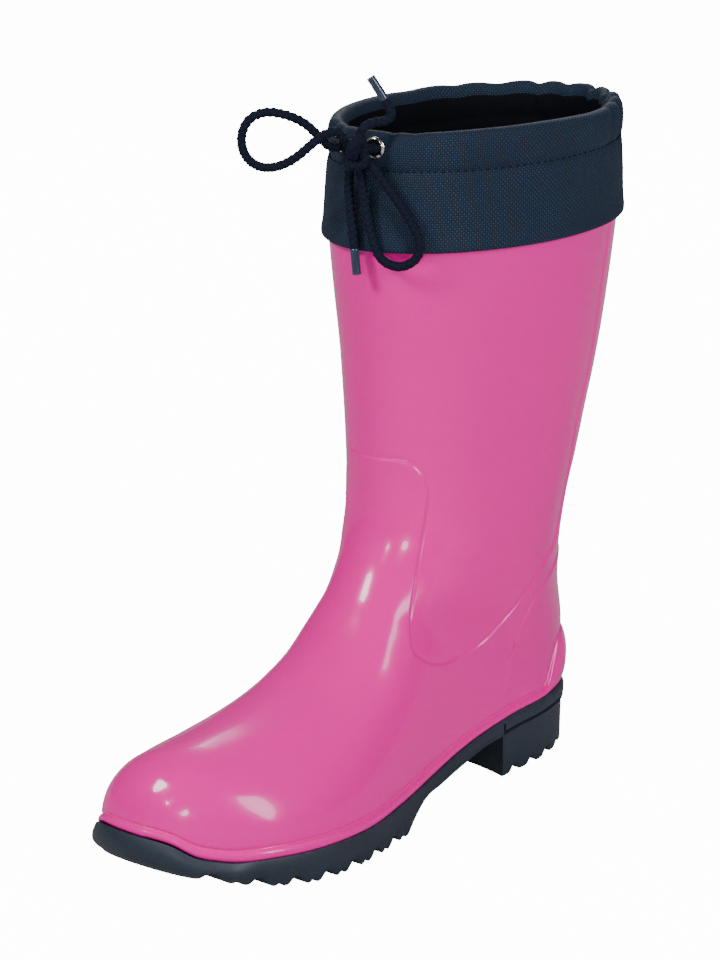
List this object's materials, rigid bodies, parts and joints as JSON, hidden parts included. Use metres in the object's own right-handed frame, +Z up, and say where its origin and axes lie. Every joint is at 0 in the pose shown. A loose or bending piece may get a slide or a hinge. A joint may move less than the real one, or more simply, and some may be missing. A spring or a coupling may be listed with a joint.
{
  "type": "rain boot",
  "caption": "Left mid-height moulded rain boot with a lugged sole, a textile cuff closed by a drawcord, and a loose footbed.",
  "frame": {"origin": "middle of the boot's box in plan, on the ground under the tread", "axes": "+Z up, -Y towards the toe, +X towards the boot's outer side"},
  "size_m": [0.1076, 0.299, 0.321],
  "materials": {
    "upper_pink": "moulded soft PVC, high gloss pink",
    "lining_knit": "dark knitted lining bonded to the moulded shell",
    "sole_navy": "moulded navy sole, low gloss",
    "footbed_foam": "closed-cell foam",
    "footbed_cloth": "fine jersey over the foam",
    "cuff_cloth": "coarse navy woven polyester",
    "cuff_lining_cloth": "dark plain woven lining",
    "thread": "dark navy sewing thread",
    "nickel": "nickel-plated pressed eyelet",
    "cord_navy": "braided navy cord",
    "aglet_plastic": "dark translucent shrink sleeve"
  },
  "bodies": {
    "boot": {"upper_shell": "upper_pink", "sock_lining": "lining_knit", "outsole": "sole_navy", "cuff_outer": "cuff_cloth", "cuff_lining": "cuff_lining_cloth", "channel_thread": "thread", "joining_thread": "thread", "eyelet_inner_side": "nickel", "eyelet_outer_side": "nickel", "washer_inner_side": "nickel", "washer_outer_side": "nickel", "drawcord_channel": "cord_navy", "drawcord_knot": "cord_navy"},
    "footbed": {"footbed_foam": "footbed_foam", "footbed_cover": "footbed_cloth"},
    "side_loop": {"side_loop": "cord_navy"},
    "hanging_loop": {"hanging_loop": "cord_navy"},
    "hanging_end": {"hanging_end": "cord_navy", "aglet_hanging": "aglet_plastic"},
    "rim_end": {"rim_end": "cord_navy", "aglet_rim": "aglet_plastic"}
  },
  "joints": [
    {"name": "footbed_lift", "type": "hinge", "parent": "boot", "child": "footbed", "pos_m": [-0.0125, -0.13752, 0.027], "axis": [1, 0, 0], "range_deg": [0, 6]},
    {"name": "side_loop_swing", "type": "hinge", "parent": "boot", "child": "side_loop", "pos_m": [0.004, -0.02092, 0.2905], "axis": [0, 0, 1], "range_deg": [-15, 15]},
    {"name": "hanging_loop_swing", "type": "hinge", "parent": "boot", "child": "hanging_loop", "pos_m": [0.004, -0.02092, 0.2905], "axis": [-1, 0, 0], "range_deg": [0, 35]},
    {"name": "hanging_end_swing", "type": "hinge", "parent": "boot", "child": "hanging_end", "pos_m": [0.004, -0.02092, 0.2905], "axis": [-1, 0, 0], "range_deg": [0, 35]},
    {"name": "rim_end_swing", "type": "hinge", "parent": "boot", "child": "rim_end", "pos_m": [0.004, -0.02092, 0.2905], "axis": [1, 0, 0], "range_deg": [0, 20]}
  ]
}
